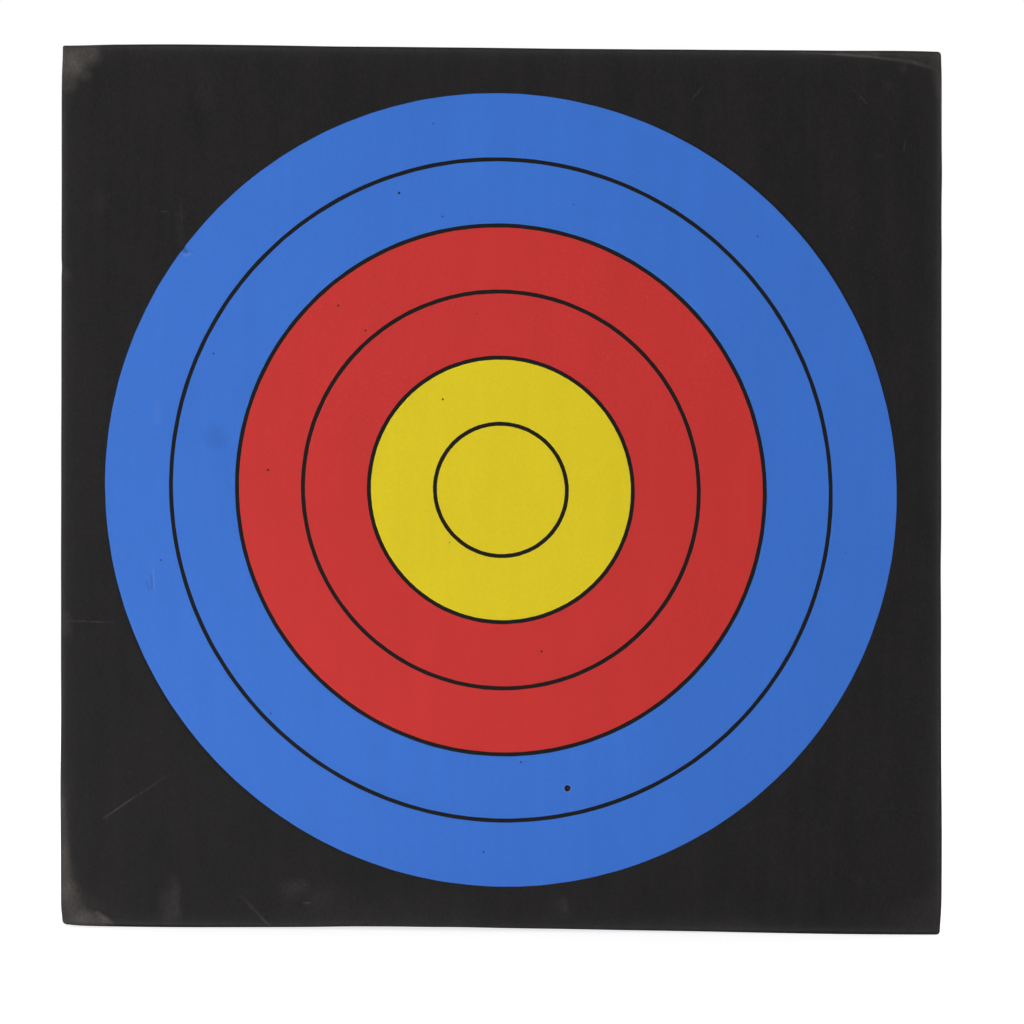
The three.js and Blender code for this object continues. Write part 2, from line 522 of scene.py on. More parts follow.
def zone_rims(place, inner, outer, turn):
    """Inner and outer radius of a printed zone at each turn.

    Each rim wanders by the mean of a few sines, with whole numbers of waves round it. The outermost
    rim also falls in by depth * exp(-(distance to the nick / length)^2)."""
    draw = np.random.default_rng(SEEDS["print rims"] + place)
    wander_in, wander_out = (
        sum(np.sin(n * turn + draw.uniform(0, PHASE_RANGE)) / len(counts) for n in counts) * INK_EDGE_WANDER
        for counts in RIM_WAVES
    )
    if place == 0:
        wander_in = 0
    if place == len(ZONES) - 1:
        nick_turn = math.atan2(NICK[1] - CENTRE_Z, NICK[0]) % (2 * math.pi)
        from_nick = (turn - nick_turn) * outer / NICK_LENGTH
        wander_out = wander_out - NICK_DEPTH * np.exp(-(from_nick ** 2))
    return inner + wander_in, outer + wander_out


def make_zone(name, place):
    """One printed zone: a closed skin of ink between two circles, or a disc, that follows the foam.

    A point at turn t and radius r is printed(r cos t, r sin t), pushed back by face_relief. The rows
    run from the inner rim to the outer one on the front, and home again on the back."""
    middle = place == 0
    outermost = place == len(ZONES) - 1
    inner = 0 if middle else place * PITCH + DIVIDING_LINE / 2
    outer = (place + 1) * PITCH - (0 if outermost else DIVIDING_LINE / 2)
    steps = ZONE_STEPS * (place + 1)
    turn = np.arange(steps) * 2 * np.pi / steps
    start, end = zone_rims(place, inner, outer, turn)
    beside_rim = np.array(RIM_ROWS) / (outer - inner)
    between = np.linspace(beside_rim[-1], 1 - beside_rim[-1], ZONE_ROWS)[1:-1]
    share = np.concatenate([beside_rim, between, 1 - beside_rim[::-1]])[:, None]
    radius = start * (1 - share) + end * share
    if middle:
        radius = radius[1:]
    x, z = printed(radius * np.cos(turn), radius * np.sin(turn))
    relief = FACE_Y + face_relief(x, z)
    top = np.stack([x, relief - INK_FRONT - arrow_lip(x, z), z], -1)
    below = np.stack([x, relief - INK_BACK, z], -1)
    rings = [*top, *below[::-1]]
    count = len(rings)
    points = np.concatenate(rings)
    here = np.arange(steps)
    after = (here + 1) % steps
    faces = []
    for k in range(count - 1 if middle else count):
        a = k * steps
        b = (k + 1) % count * steps
        faces.append(np.stack([a + here, a + after, b + after, b + here], 1))
    if middle:
        cx, cz = printed(np.zeros(1), np.zeros(1))
        y = FACE_Y + face_relief(cx, cz)
        poles = np.array([[cx[0], y[0] - INK_FRONT, cz[0]], [cx[0], y[0] - INK_BACK, cz[0]]])
        total = len(points)
        points = np.concatenate([points, poles])
        faces.append(np.stack([here, np.full(steps, total), after], 1))
        base = (count - 1) * steps
        faces.append(np.stack([base + here, base + after, np.full(steps, total + 1)], 1))
    return make_mesh(name + "_ink", points, [f[:, ::-1] for f in faces])


def cut_arrow_hole(pieces):
    """Cuts the arrow's hole. Its funnel's radius at a turn t is share * (1 + unevenness * sin(lobes *
    t + 1)) times the hole's own."""
    turn = np.arange(FUNNEL_SIDES) * 2 * np.pi / FUNNEL_SIDES
    lobed = 1 + FUNNEL_UNEVENNESS * np.sin(FUNNEL_LOBES * turn + 1)
    rings = []
    for share, depth in FUNNEL:
        radius = ARROW_HOLE_RADIUS * share * lobed
        x = ARROW_HOLE[0] + radius * np.cos(turn)
        z = ARROW_HOLE[1] + radius * np.sin(turn)
        rings.append(np.stack([x, np.full_like(x, FACE_Y + FACE_BACK + depth * MM), z], -1))
    points, faces = loft(rings, None, None)
    cutter = make_mesh("arrow_hole_cutter", points, faces)
    for piece in pieces:
        cut = piece.modifiers.new("arrow_hole", "BOOLEAN")
        cut.operation = "DIFFERENCE"
        cut.solver = "EXACT"
        cut.object = cutter
        with bpy.context.temp_override(object=piece, active_object=piece):
            bpy.ops.object.modifier_apply(modifier=cut.name)
    bpy.data.objects.remove(cutter, do_unlink=True)


# Finishes


class Nodes:
    """Places shader nodes in one tree and joins them, so that a finish reads as a formula."""

    def __init__(self, tree):
        self.tree = tree

    def feed(self, socket, value):
        """Joins another node's output to a socket, or sets a plain value on it."""
        if isinstance(value, bpy.types.NodeSocket):
            self.tree.links.new(value, socket)
        else:
            socket.default_value = value

    def add(self, kind, feeds=None, **settings):
        """A new node with its own settings, and with its inputs fed by their names."""
        node = self.tree.nodes.new(kind)
        for name, value in settings.items():
            setattr(node, name, value)
        for name, value in (feeds or {}).items():
            self.feed(node.inputs[name], value)
        return node

    def math(self, operation, *terms):
        """One step of arithmetic with numbers."""
        node = self.add("ShaderNodeMath", operation=operation)
        for socket, value in zip(node.inputs, terms):
            self.feed(socket, value)
        return node.outputs[0]

    def vector(self, operation, *terms):
        """One step of arithmetic with vectors, which gives a vector or, for a length, a number."""
        node = self.add("ShaderNodeVectorMath", operation=operation)
        for socket, value in zip(node.inputs, terms):
            self.feed(socket, value)
        is_number = operation in ("LENGTH", "DISTANCE", "DOT_PRODUCT")
        return node.outputs["Value" if is_number else "Vector"]

    def stretched(self, vector, gain):
        """A vector or a colour multiplied by one number."""
        node = self.add("ShaderNodeVectorMath", operation="SCALE")
        self.feed(node.inputs[0], vector)
        self.feed(node.inputs["Scale"], gain)
        return node.outputs[0]

    def blend(self, share, first, second):
        """From the first colour at share 0 to the second at share 1."""
        node = self.add("ShaderNodeMix", data_type="RGBA")
        for place, value in ((0, share), (6, first), (7, second)):
            self.feed(node.inputs[place], value)
        return node.outputs[2]

    def fade(self, value, low, high):
        """0 where a value is at low, 1 where it is at high, smooth between them."""
        node = self.add("ShaderNodeMapRange", interpolation_type="SMOOTHSTEP")
        for place, term in enumerate((value, low, high)):
            self.feed(node.inputs[place], term)
        return node.outputs[0]

    def together(self, masks):
        """Several masks laid over each other: one minus the product of what each leaves bare."""
        bare = self.math("SUBTRACT", 1.0, masks[0])
        for mask in masks[1:]:
            bare = self.math("MULTIPLY", bare, self.math("SUBTRACT", 1.0, mask))
        return self.math("SUBTRACT", 1.0, bare)

    def place(self):
        """The place in the block's own frame."""
        return self.add("ShaderNodeTexCoord").outputs["Object"]

    def noise(self, lumps, detail=3.0, roughness=0.5, place=None):
        """Soft noise about 0.5, with the given number of lumps a metre along each axis."""
        spread = self.vector("MULTIPLY", place or self.place(), lumps)
        feeds = {"Vector": spread, "Scale": 1.0, "Detail": detail, "Roughness": roughness}
        return self.add("ShaderNodeTexNoise", feeds).outputs["Fac"]


def effect(name, takes, gives):
    """A shader node group with named sockets, given as (name, kind, value), and its two ends."""
    tree = bpy.data.node_groups.new(name, "ShaderNodeTree")
    for label, kind, value in takes:
        socket = tree.interface.new_socket(label, in_out="INPUT", socket_type="NodeSocket" + kind)
        socket.default_value = value
    for label, kind in gives:
        tree.interface.new_socket(label, in_out="OUTPUT", socket_type="NodeSocket" + kind)
    nodes = Nodes(tree)
    return nodes, nodes.add("NodeGroupInput").outputs, nodes.add("NodeGroupOutput").inputs


def skin_grain():
    """Sealed skin of the foam: low domes over its cells, and a finer tooth on them."""
    takes = (("Cell size", "Float", 1.0 * MM),)
    nodes, given, out = effect("skin_grain", takes, (("Height", "Float"), ("Tone", "Float")))
    feeds = {"Vector": nodes.place(), "Scale": nodes.math("DIVIDE", 1.0, given["Cell size"])}
    dome = nodes.math("SUBTRACT", 1.0, nodes.add("ShaderNodeTexVoronoi", feeds).outputs["Distance"])
    tooth = nodes.noise((700, 700, 440), 2.0, 0.6)
    nodes.feed(out["Height"], nodes.math("MULTIPLY_ADD", tooth, 0.7, dome))
    mixed = nodes.math("MULTIPLY_ADD", dome, 0.3, tooth)
    nodes.feed(out["Tone"], nodes.math("SUBTRACT", mixed, 0.64))
    return nodes.tree


def open_cells():
    """Cut foam: bowls of cells laid open, sharp walls between them, and marks along the blade."""
    takes = (("Cell size", "Float", 0.8 * MM), ("Blade", "Float", 0.6))
    nodes, given, out = effect("open_cells", takes, (("Height", "Float"), ("Walls", "Float")))
    feeds = {"Vector": nodes.place(), "Scale": nodes.math("DIVIDE", 1.0, given["Cell size"])}
    bowls = nodes.add("ShaderNodeTexVoronoi", feeds).outputs["Distance"]
    edges = nodes.add("ShaderNodeTexVoronoi", feeds, feature="DISTANCE_TO_EDGE").outputs["Distance"]
    blade = nodes.noise((520, 24, 520), 4.0, 0.6)
    nodes.feed(out["Height"], nodes.math("MULTIPLY_ADD", blade, given["Blade"], bowls))
    nodes.feed(out["Walls"], nodes.math("SUBTRACT", 1.0, nodes.fade(edges, 0.02, 0.16)))
    return nodes.tree


def cloudiness():
    """Uneven tone about zero: clouds and streaks, both drawn out along the sheet's upright."""
    takes = (("Clouds", "Float", 1.0), ("Streaks", "Float", 1.0), ("Shift", "Float", 0.0))
    nodes, given, out = effect("cloudiness", takes, (("Tone", "Float"),))
    shift = nodes.add("ShaderNodeCombineXYZ", {"Y": given["Shift"]}).outputs[0]
    place = nodes.vector("ADD", nodes.place(), shift)
    clouds = nodes.math("SUBTRACT", nodes.noise((34, 34, 17), 4.0, 0.62, place), 0.5)
    streaks = nodes.math("SUBTRACT", nodes.noise((105, 105, 8), 2.0, 0.5, place), 0.5)
    clouds = nodes.math("MULTIPLY", clouds, given["Clouds"])
    nodes.feed(out["Tone"], nodes.math("MULTIPLY_ADD", streaks, given["Streaks"], clouds))
    return nodes.tree


def mark():
    """A straight mark on the face, or a round one where its two ends are one place.

    Its reach runs evenly from one end's to the other's. The mask is 0 beyond the reach and 1 within
    reach * (1 - softness) of the line, and unevenness shifts that fade to and fro. With t running
    from 0 to 1 along the line, it is then multiplied by 1 - fade * (1 - 4 t (1 - t))."""
    takes = (
        ("Start", "Vector", (0, 0, 0)),
        ("End", "Vector", (0, 0, 1)),
        ("Start reach", "Float", MM),
        ("End reach", "Float", MM),
        ("Softness", "Float", 0.5),
        ("Unevenness", "Float", 0.0),
        ("Fade", "Float", 0.0),
    )
    nodes, given, out = effect("mark", takes, (("Mask", "Float"),))
    run = nodes.vector("SUBTRACT", given["End"], given["Start"])
    offset = nodes.vector("MULTIPLY", nodes.vector("SUBTRACT", nodes.place(), given["Start"]), (1, 0, 1))
    reached = nodes.vector("DOT_PRODUCT", offset, run)
    along = nodes.math("DIVIDE", reached, nodes.vector("DOT_PRODUCT", run, run))
    along = nodes.math("MAXIMUM", nodes.math("MINIMUM", along, 1.0), 0.0)
    widening = nodes.math("SUBTRACT", given["End reach"], given["Start reach"])
    reach = nodes.math("MULTIPLY_ADD", widening, along, given["Start reach"])
    gap = nodes.math("DIVIDE", nodes.vector("DISTANCE", offset, nodes.stretched(run, along)), reach)
    core = nodes.math("SUBTRACT", 1.0, given["Softness"])
    line = nodes.fade(nodes.math("ADD", gap, given["Unevenness"]), 1.0, core)
    middle = nodes.math("MULTIPLY", along, nodes.math("SUBTRACT", 1.0, along))
    ends = nodes.math("MULTIPLY_ADD", middle, -4.0, 1.0)
    kept = nodes.math("SUBTRACT", 1.0, nodes.math("MULTIPLY", given["Fade"], ends))
    nodes.feed(out["Mask"], nodes.math("MULTIPLY", line, kept))
    return nodes.tree


EFFECTS = {
    "skin": skin_grain(),
    "open": open_cells(),
    "cloudy": cloudiness(),
    "mark": mark(),
}


def use(nodes, name, **feeds):
    """Places an effect in a material, with its inputs fed by their names."""
    node = nodes.add("ShaderNodeGroup", node_tree=EFFECTS[name])
    for label, value in feeds.items():
        nodes.feed(node.inputs[label.replace("_", " ")], value)
    return node.outputs


def new_material(name, gloss):
    """An empty material with one Principled shader, and how much that mirrors at its surface."""
    material = bpy.data.materials.new(name)
    material.use_nodes = True
    material.node_tree.nodes.clear()
    nodes = Nodes(material.node_tree)
    shader = nodes.add("ShaderNodeBsdfPrincipled", {"Specular IOR Level": gloss})
    nodes.add("ShaderNodeOutputMaterial", {"Surface": shader.outputs[0]})
    return material, nodes, shader


def give_relief(nodes, shader, height, depth):
    """Lets each unit of a height stand depth metres high in the shading."""
    raised = nodes.math("MULTIPLY", height, depth)
    bump = nodes.add("ShaderNodeBump", {"Height": raised, "Distance": 1.0})
    nodes.feed(shader.inputs["Normal"], bump.outputs[0])


def linear(red, green, blue):
    """A colour of screen values from 0 to 255 as linear light."""
    values = np.array([red, green, blue]) / 255
    return (*np.where(values <= 0.04045, values / 12.92, ((values + 0.055) / 1.055) ** 2.4), 1.0)


FACING_COLOUR = linear(24.4, 22.8, 23.2)
BARE_COLOUR = linear(12, 11, 12)
CORE_COLOUR = linear(27, 25, 26)
# pale colour of dust and scuffs, and of the painted highlights on the pressed corners and lower margin
DUST_AND_HIGHLIGHT_COLOUR = linear(104, 99, 95)
# pale colour of the rim: wear, and a painted highlight along the edges
RIM_WEAR_AND_HIGHLIGHT_COLOUR = linear(100, 99, 98)
THICK_GLUE = linear(38, 32, 26)
THIN_GLUE = linear(92, 76, 50)
RUBBED_BLUE = linear(118, 142, 196)

# Each ink's colour, and where its clouds are taken from.
INKS = {
    "yellow_ink": (linear(214, 193, 21), 0.0),
    "red_ink": (linear(189, 43, 40), 1.3),
    "blue_ink": (linear(51, 107, 197), 2.9),
}

# How high each surface's grain stands, and how much it mirrors.
SKIN_RELIEF = 0.05 * MM
CELL_RELIEF = 0.26 * MM
INK_RELIEF = 0.035 * MM
GLUE_RELIEF = 0.2 * MM
SKIN_GLOSS = 0.1
CELL_GLOSS = 0.18
INK_GLOSS = 0.2
GLUE_GLOSS = 0.5

SKIN_CELL = 1.0 * MM
OPEN_CELL = 0.95 * MM
FRONT_ENDS = (4.8 * MM, 2.6 * MM)  # depths behind the face between which marks start to show
WIPED_RADIUS = PITCH * len(ZONES)  # inside it the squeegee wiped the skin clean
WIPED_BORDER = 2 * MM


def on_face(px, py):
    """A place on the printed face as a vector for a mark."""
    x, z = seen_at(px, py)
    return (x, 0.0, z)


# Marks on the printed face, each with its two ends as the photograph shows them in pixels, its reach
# at each end in millimetres, and its strength.
SCRATCHES = (
    ((103.6, 817.4), (133.5, 796.8), 1.15, 1.05, 0.22),
    ((127.7, 801.1), (169.7, 773.1), 1.1, 0.9, 0.1),
    ((106, 817.8), (107.5, 817.4), 1.9, 1.9, 0.1),
    ((66, 620.5), (92, 620.8), 1.2, 1.0, 0.09),
    ((90.5, 621.2), (101, 621.4), 0.9, 0.9, 0.23),
    ((99, 621.4), (114, 621.8), 0.8, 0.7, 0.08),
    ((240.4, 895.6), (269.4, 925.1), 1.3, 1.4, 0.115),
    ((259, 915.5), (270, 927), 1.1, 1.1, 0.13),
    ((303, 902.5), (310, 902.5), 1.0, 0.9, 0.24),
    ((303.5, 884.5), (306, 884.5), 1.0, 1.0, 0.1),
    ((703, 85.5), (690.5, 99.5), 1.0, 0.9, 0.11),
    ((180, 198), (181.5, 222), 1.3, 1.1, 0.05),
    ((160, 211), (167, 211), 0.9, 0.9, 0.09),
    ((860, 96), (867, 103.5), 0.8, 0.8, 0.14),
    ((848, 84), (861, 97), 0.9, 0.8, 0.04),
    ((904.5, 140), (903.6, 150), 0.9, 0.8, 0.13),
    ((71, 56), (80, 73), 1.5, 1.4, 0.08),
)

# The crease above which the top right corner was pressed back.
CORNER_CREASE = (
    ((792, 51.3), (842, 54), 0.9, 1.3, 0.24),
    ((832, 53.4), (870, 56), 1.4, 1.6, 0.36),
    ((860, 55), (898, 59.4), 1.4, 1.5, 0.24),
    ((888, 58.0), (922, 63.4), 2.1, 2.5, 0.16),
    ((910.2, 61.0), (936.2, 69.3), 2.3, 2.5, 0.135),
)

# Dust pressed into the knocked corners, with ragged borders. Beside the lower left and top right corners
# the pale marks are also a painted highlight, where the pressed strips tilt towards the lamps.
CORNER_DUST_AND_HIGHLIGHTS = (
    ((72, 57), (88, 53), 13.5, 12.5, 0.3),
    ((67, 58), (71, 68), 11.0, 11.0, 0.14),
    ((67, 72), (69, 83), 9.5, 9.0, 0.16),
    ((76, 66), (84, 74), 7.0, 7.0, 0.14),
    ((61, 790), (61, 872), 9.0, 9.5, 0.05),
    ((62, 845), (64, 884), 6.5, 12.0, 0.1),
    ((66, 890), (74, 916), 11.0, 13.0, 0.2),
    ((84, 918), (104, 920.5), 9.5, 5.0, 0.29),
    ((70, 895), (96, 906), 12.0, 9.0, 0.04),
    ((97, 913), (112, 923), 2.6, 1.8, 0.22),
    ((838, 50.5), (876, 53.5), 3.4, 3.8, 0.18),
    ((850, 48), (936, 52), 3.0, 10.0, 0.11),
    ((900, 56.5), (931, 63.5), 3.4, 3.6, 0.05),
    ((940, 62), (942, 92), 9.5, 6.5, 0.13),
    ((943, 75), (943, 165), 6.0, 4.0, 0.1),
    ((176, 888), (177, 912), 4.6, 5.0, 0.05),
)

# Torn foam at the bottom of the arrow hole.
TORN_FOAM = ((ARROW_HOLE_SEEN, (567.2, 788.3), 0.9, 0.9, 0.26),)

# The inner border of the band that was pressed in beside the lower left corner, painted paler: a painted
# highlight where the pressed band tilts towards the lamp on the left.
PRESSED_BAND_HIGHLIGHT = (((57, 802), (57, 884), 6.4, 12.0, 0.11),)

# Soft smudges. The broad one along the bottom edge from 640 to 745 is a painted highlight, carrying the
# lower margin's painted highlight further.
SMUDGES_AND_HIGHLIGHT = (
    ((563, 900), (564, 908), 4.5, 4.5, 0.07),
    ((560, 905), (562, 912), 11.0, 11.0, 0.03),
    ((640, 932), (745, 932), 16.0, 16.0, 0.035),
    ((330, 925), (450, 925), 38.0, 38.0, 0.03),
    ((168, 898), (170, 913), 9.5, 10.5, 0.1),
    ((173, 880), (175, 890), 7.0, 7.0, 0.05),
    ((287, 888), (299, 885), 8.5, 8.5, 0.08),
    ((288, 899), (295, 894), 8.0, 8.0, 0.04),
    ((315, 900), (325, 892), 13.0, 13.0, 0.03),
    ((905, 925), (936, 905), 22.0, 18.0, 0.05),
    ((858, 880), (858, 880), 8.0, 8.0, 0.02),
    ((903, 68), (903, 68), 5.0, 5.0, 0.08),
    ((888, 85), (888, 85), 6.0, 6.0, 0.04),
    ((877.5, 155), (877.5, 155), 3.5, 3.5, 0.05),
    ((98, 200), (98, 202), 12.0, 12.0, 0.03),
    ((203, 70), (206, 98), 13.0, 13.0, 0.03),
    ((179, 216), (180, 240), 6.0, 6.0, 0.04),
    ((66, 275), (66, 275), 6.0, 6.0, 0.08),
    ((66, 616), (66, 630), 6.0, 6.0, 0.08),
)

# Round marks in the ink, each with its place, its reach and its strength: pits where bare foam
# shows, and round the arrow hole a paler lip and the bare edge.
INK_PITS = {
    "yellow_ink": (((442.4, 398.8), 0.85, 1.0), ((449, 542), 0.7, 0.5)),
    "red_ink": (
        ((267.5, 469.5), 0.95, 1.0),
        ((365, 330), 0.85, 0.9),
        ((541, 651), 0.9, 1.0),
        ((338, 305), 0.85, 0.9),
        ((476, 313), 0.6, 0.6),
    ),
    "blue_ink": (
        ((398.6, 192.5), 1.05, 1.0),
        ((433, 123), 0.8, 0.55),
        ((442, 216), 0.75, 0.7),
        ((213, 353), 0.75, 0.8),
        ((160.3, 559.6), 0.8, 0.7),
        ((270, 713), 0.75, 0.7),
        ((520.4, 761.7), 0.95, 0.7),
        ((523.7, 764.5), 0.6, 0.3),
        ((525.5, 761.5), 0.6, 0.3),
        ((483, 851.5), 0.8, 0.8),
        ((757, 236), 0.75, 0.7),
        ((845, 552), 0.65, 0.4),
        ((573, 204), 0.65, 0.6),
    ),
}
HOLE_LIP = ((ARROW_HOLE_SEEN, 3.3, 0.55),)
HOLE_EDGE = ((ARROW_HOLE_SEEN, 2.6, 1.0),)

# Dark stains and pale rubs in the blue ink, written as the marks on the foam are.
BLUE_STAINS = (
    ((214.5, 436), (216, 439), 11.5, 11.5, 0.14),
    ((183.8, 249.3), (185.2, 250.8), 2.9, 2.6, 0.4),
    ((150.7, 575), (151.8, 588), 0.9, 1.1, 0.22),
    ((146, 582), (148.5, 588), 1.8, 1.6, 0.16),
)
BLUE_RUBS = (
    ((152.7, 569), (153.7, 589), 0.8, 0.9, 0.3),
    ((184, 254.7), (189, 253.6), 2.0, 2.0, 0.24),
    ((156.5, 402), (157, 422), 3.4, 3.4, 0.07),
)


def marks(nodes, table, softness, unevenness=0.0, fade=0.0):
    """A table of marks laid over each other, each by its own strength."""
    masks = []
    for start, end, start_reach, end_reach, strength in table:
        feeds = {
            "Start": on_face(*start),
            "End": on_face(*end),
            "Start reach": start_reach * MM,
            "End reach": end_reach * MM,
            "Softness": softness,
            "Unevenness": unevenness,
            "Fade": fade,
        }
        masks.append(nodes.math("MULTIPLY", use(nodes, "mark", **feeds)["Mask"], strength))
    return nodes.together(masks)


def spots(nodes, table, softness):
    """A table of round marks, each with its place, its reach and its strength."""
    round_marks = [(place, place, reach, reach, strength) for place, reach, strength in table]
    return marks(nodes, round_marks, softness)


def facing_material():
    """The facing sheets' sealed skin, with dust and scratches on its front, painted highlights on its
    pressed corners and lower margin, and a rim painted paler for wear and a painted highlight.
    """
    material, nodes, shader = new_material("facing_foam", SKIN_GLOSS)
    rim = nodes.add("ShaderNodeAttribute", attribute_name="rim").outputs["Fac"]
    skin = use(nodes, "skin", Cell_size=SKIN_CELL)
    clouds = use(nodes, "cloudy", Clouds=1.4, Streaks=0.8, Shift=0.0)["Tone"]
    patchy = nodes.noise((95, 95, 60), 4.0, 0.7)
    uneven = nodes.math("SUBTRACT", patchy, 0.5)
    place = nodes.place()
    depth = nodes.add("ShaderNodeSeparateXYZ", {"Vector": place}).outputs["Y"]
    in_front = nodes.fade(depth, FACE_Y + FRONT_ENDS[0], FACE_Y + FRONT_ENDS[1])
    flecks = nodes.math("MULTIPLY", nodes.fade(skin["Tone"], 0.2, 0.38), nodes.fade(patchy, 0.52, 0.7))
    # dust, smudges and scratches, and painted highlights on the pressed corners and along the lower margin
    dust_and_highlights = nodes.together([
        marks(nodes, CORNER_DUST_AND_HIGHLIGHTS, softness=0.9, unevenness=nodes.math("MULTIPLY", uneven, 0.5)),
        marks(nodes, PRESSED_BAND_HIGHLIGHT, softness=0.4, unevenness=nodes.math("MULTIPLY", uneven, 0.3)),
        marks(nodes, SMUDGES_AND_HIGHLIGHT, softness=1.0),
        marks(nodes, SCRATCHES, softness=0.9, fade=0.6),
        marks(nodes, CORNER_CREASE, softness=1.0, fade=0.7),
        nodes.math("MULTIPLY", flecks, 0.1),
    ])
    thickness = nodes.math("MULTIPLY_ADD", nodes.math("ADD", uneven, skin["Tone"]), 1.1, 1.0)
    dust_and_highlights = nodes.math("MULTIPLY", nodes.math("MULTIPLY", dust_and_highlights, thickness), in_front)
    # the rim painted paler, for wear and for a painted highlight along the edges
    paled = nodes.math("MULTIPLY", rim, nodes.math("MULTIPLY_ADD", uneven, 1.2, 1.0))
    # between the rings the squeegee left the skin clean
    across = nodes.vector("SUBTRACT", place, (PRINT_SHIFT_X, 0.0, PRINT_SHIFT_Z + CENTRE_Z))
    radius = nodes.vector("LENGTH", nodes.vector("MULTIPLY", across, (1, 0, 1)))
    wiped = nodes.math("MULTIPLY", nodes.fade(radius, WIPED_RADIUS, WIPED_RADIUS - WIPED_BORDER), in_front)
    gain = nodes.math("ADD", nodes.math("MULTIPLY_ADD", skin["Tone"], 1.3, 1.0), clouds)
    gain = nodes.math("MULTIPLY", gain, nodes.math("MULTIPLY_ADD", wiped, -0.5, 1.0))
    dark = nodes.stretched(FACING_COLOUR[:3], nodes.math("MAXIMUM", gain, 0.2))
    dust_and_highlights = nodes.math("MULTIPLY", dust_and_highlights, nodes.math("SUBTRACT", 1.0, wiped))
    dust_and_highlights = nodes.together([dust_and_highlights, marks(nodes, TORN_FOAM, softness=1.0)])
    worn_and_lit = nodes.blend(paled, dark, RIM_WEAR_AND_HIGHLIGHT_COLOUR)
    nodes.feed(shader.inputs["Base Color"], nodes.blend(dust_and_highlights, worn_and_lit, DUST_AND_HIGHLIGHT_COLOUR))
    pale = nodes.math("MAXIMUM", dust_and_highlights, paled)
    rough = nodes.math("MULTIPLY_ADD", clouds, 0.2, nodes.math("MULTIPLY_ADD", pale, 0.2, 0.66))
    nodes.feed(shader.inputs["Roughness"], rough)
    give_relief(nodes, shader, skin["Height"], SKIN_RELIEF)
    return material


def core_material():
    """The core sheets as the band saw left them: open cells, with the blade's drag across them."""
    material, nodes, shader = new_material("core_foam", CELL_GLOSS)
    opened = use(nodes, "open", Cell_size=OPEN_CELL, Blade=0.9)
    clouds = use(nodes, "cloudy", Clouds=1.0, Streaks=0.3, Shift=0.7)["Tone"]
    gain = nodes.math("MULTIPLY_ADD", opened["Walls"], 1.3, nodes.math("ADD", 0.9, clouds))
    nodes.feed(shader.inputs["Base Color"], nodes.stretched(CORE_COLOUR[:3], gain))
    nodes.feed(shader.inputs["Roughness"], nodes.math("MULTIPLY_ADD", opened["Walls"], -0.15, 0.85))
    give_relief(nodes, shader, opened["Height"], CELL_RELIEF)
    return material


def ink_material(name, colour, shift):
    """Screen ink on foam: its grain shows through, with squeegee streaks, pinholes and marks."""
    material, nodes, shader = new_material(name, INK_GLOSS)
    skin = use(nodes, "skin", Cell_size=SKIN_CELL)
    clouds = use(nodes, "cloudy", Clouds=0.1, Streaks=0.08, Shift=shift)["Tone"]
    pits = spots(nodes, INK_PITS[name], softness=0.3)
    pinholes = nodes.math("MULTIPLY", nodes.fade(skin["Tone"], 0.27, 0.38), 0.22)
    gain = nodes.math("ADD", nodes.math("MULTIPLY_ADD", skin["Tone"], 0.16, 1.0), clouds)
    if name == "blue_ink":
        stained = marks(nodes, BLUE_STAINS, softness=1.0)
        gain = nodes.math("MULTIPLY", gain, nodes.math("SUBTRACT", 1.0, stained))
    tinted = nodes.stretched(colour[:3], gain)
    if name == "blue_ink":
        lip = spots(nodes, HOLE_LIP, softness=0.35)
        paled = nodes.math("MAXIMUM", marks(nodes, BLUE_RUBS, softness=1.0), lip)
        tinted = nodes.blend(paled, tinted, RUBBED_BLUE)
        pits = nodes.math("MAXIMUM", pits, spots(nodes, HOLE_EDGE, softness=0.35))
    bare = nodes.math("MAXIMUM", pits, pinholes)
    nodes.feed(shader.inputs["Base Color"], nodes.blend(bare, tinted, BARE_COLOUR))
    nodes.feed(shader.inputs["Roughness"], nodes.math("MULTIPLY_ADD", skin["Tone"], 0.3, 0.58))
    give_relief(nodes, shader, skin["Height"], INK_RELIEF)
    return material


def glue_material():
    """Dried contact adhesive: dark amber, glossy where it is thick."""
    material, nodes, shader = new_material("adhesive", GLUE_GLOSS)
    lumps = nodes.noise((300, 300, 300))
    nodes.feed(shader.inputs["Base Color"], nodes.blend(lumps, THICK_GLUE, THIN_GLUE))
    nodes.feed(shader.inputs["Roughness"], nodes.math("MULTIPLY_ADD", lumps, 0.4, 0.2))
    give_relief(nodes, shader, lumps, GLUE_RELIEF)
    return material


def dress(piece, node, material):
    """Puts a finished piece in the place of its solid. The stiff foam sheets are pads filled tight."""
    piece.data.materials.clear()
    piece.data.materials.append(material)
    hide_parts(node)
    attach(piece, "root")


finishes = {"facing_foam": facing_material(), "core_foam": core_material(), "adhesive": glue_material()}
for slot, (colour, shift) in INKS.items():
    finishes[slot] = ink_material(slot, colour, shift)

sheets = {
    name: make_sheet(name, seed, rolled_front=name.startswith("front"), rolled_rear=name.startswith("rear"))
    for seed, name in enumerate(SHEETS, SEEDS["sheets"])
}
prints = {name: make_zone(name, place) for place, (name, _) in enumerate(ZONES)}
cut_arrow_hole([prints["inner_blue_print"], sheets["front_facing_sheet"]])

for name, piece in sheets.items():
    slot = "core_foam" if name.startswith("core") else "facing_foam"
    dress(piece, name, finishes[slot])
for seed, name in enumerate(FILMS, SEEDS["films"]):
    dress(make_film(name, seed), name, finishes["adhesive"])
for name, slot in ZONES:
    dress(prints[name], name, finishes[slot])


# Studio

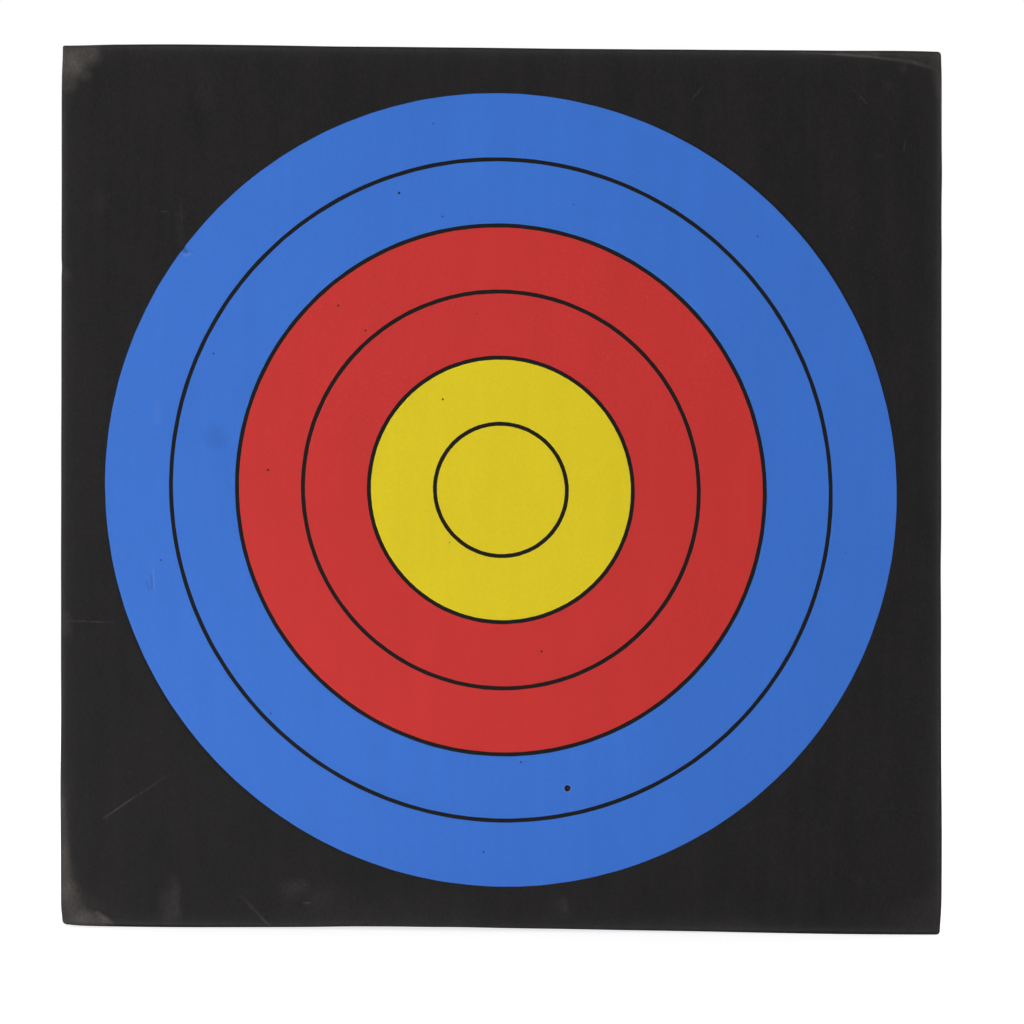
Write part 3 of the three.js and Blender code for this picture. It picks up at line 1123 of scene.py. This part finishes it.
FLOOR_REACH = 14.0
FLOOR_COLOUR = (0.8, 0.8, 0.8, 1)
FLOOR_GLOW = 0.76  # what the lamps' light on the floor leaves short of white
WHITE = (1, 1, 1, 1)
WORLD_LIGHT = 0.36
SIGHT_END = 60.0

FACE_CENTRE = (0.0, FACE_Y, CENTRE_Z)
LOWER_LEFT = (-0.2, FACE_Y, -0.06)
LEFT_STAND = (-1.7, -2.2, 0.12)
RIGHT_STAND = (2.1, -2.6, 0.12)
WIDE_BEAM = 180

# Each lamp: its name, place, aim, width, height, watts, and beam in degrees.
LAMPS = (
    ("key_lamp", LEFT_STAND, FACE_CENTRE, 1.3, 0.2, 46, WIDE_BEAM),
    ("low_lamp", LEFT_STAND, LOWER_LEFT, 0.5, 0.1, 0.14, 16),
    ("fill_lamp", RIGHT_STAND, FACE_CENTRE, 1.3, 0.2, 14, WIDE_BEAM),
    ("left_rear_lamp", (-2.4, 1.9, 1.3), FACE_CENTRE, 1.6, 1.6, 42, WIDE_BEAM),
    ("right_rear_lamp", (2.4, 1.9, 1.3), FACE_CENTRE, 1.6, 1.6, 42, WIDE_BEAM),
)


def background_seen(nodes):
    """1 where the background is seen straight, in a reflection or through a clear piece."""
    path = nodes.add("ShaderNodeLightPath").outputs
    return nodes.together([path["Is Camera Ray"], path["Is Glossy Ray"], path["Is Transmission Ray"]])


def make_floor():
    """A wide pale floor that renders white where nothing shades it."""
    mesh = bpy.data.meshes.new("studio_floor")
    corners = [(x * FLOOR_REACH, y * FLOOR_REACH, 0) for x, y in ((-1, -1), (1, -1), (1, 1), (-1, 1))]
    mesh.from_pydata(corners, [], [(0, 1, 2, 3)])
    floor = bpy.data.objects.new("studio_floor", mesh)
    bpy.context.scene.collection.objects.link(floor)
    material, nodes, shader = new_material("studio_floor", gloss=0.0)
    shader.inputs["Base Color"].default_value = FLOOR_COLOUR
    shader.inputs["Roughness"].default_value = 1.0
    shader.inputs["Emission Color"].default_value = WHITE
    glow = nodes.math("MULTIPLY", background_seen(nodes), FLOOR_GLOW)
    nodes.feed(shader.inputs["Emission Strength"], glow)
    mesh.materials.append(material)


def make_world():
    """White to the eye and in reflections, and a softer white as light."""
    world = bpy.data.worlds.new("studio")
    world.use_nodes = True
    world.node_tree.nodes.clear()
    nodes = Nodes(world.node_tree)
    strength = nodes.math("MULTIPLY_ADD", background_seen(nodes), 1.0 - WORLD_LIGHT, WORLD_LIGHT)
    back = nodes.add("ShaderNodeBackground", {"Color": WHITE, "Strength": strength})
    nodes.add("ShaderNodeOutputWorld", {"Surface": back.outputs[0]})
    bpy.context.scene.world = world


def make_lamp(name, place, aim, width, height, watts, beam):
    """A soft oblong lamp at a place, turned to its aim, with a beam of so many degrees."""
    light = bpy.data.lights.new(name, "AREA")
    light.shape = "RECTANGLE"
    light.size = width
    light.size_y = height
    light.energy = watts
    light.spread = math.radians(beam)
    lamp = bpy.data.objects.new(name, light)
    bpy.context.scene.collection.objects.link(lamp)
    lamp.location = place
    way = np.array(aim) - np.array(place)
    flat = math.hypot(way[0], way[1])
    lamp.rotation_euler = (math.atan2(flat, -way[2]), 0, math.atan2(-way[0], way[1]))


def make_camera():
    """The photograph's camera, square to the printed face."""
    camera = bpy.data.cameras.new("camera")
    camera.sensor_width = SENSOR
    camera.lens = SENSOR * PIXELS_PER_METRE * CAMERA_DISTANCE / PHOTO_SIZE
    camera.clip_end = SIGHT_END
    holder = bpy.data.objects.new("camera", camera)
    bpy.context.scene.collection.objects.link(holder)
    holder.location = (AIM_X, ink_low.y - CAMERA_DISTANCE, CENTRE_Z + AIM_Z)
    holder.rotation_euler = (math.pi / 2, -CAMERA_ROLL, 0)
    bpy.context.scene.camera = holder


make_floor()
make_world()
for lamp in LAMPS:
    make_lamp(*lamp)
make_camera()
bpy.context.scene.view_settings.view_transform = "Standard"
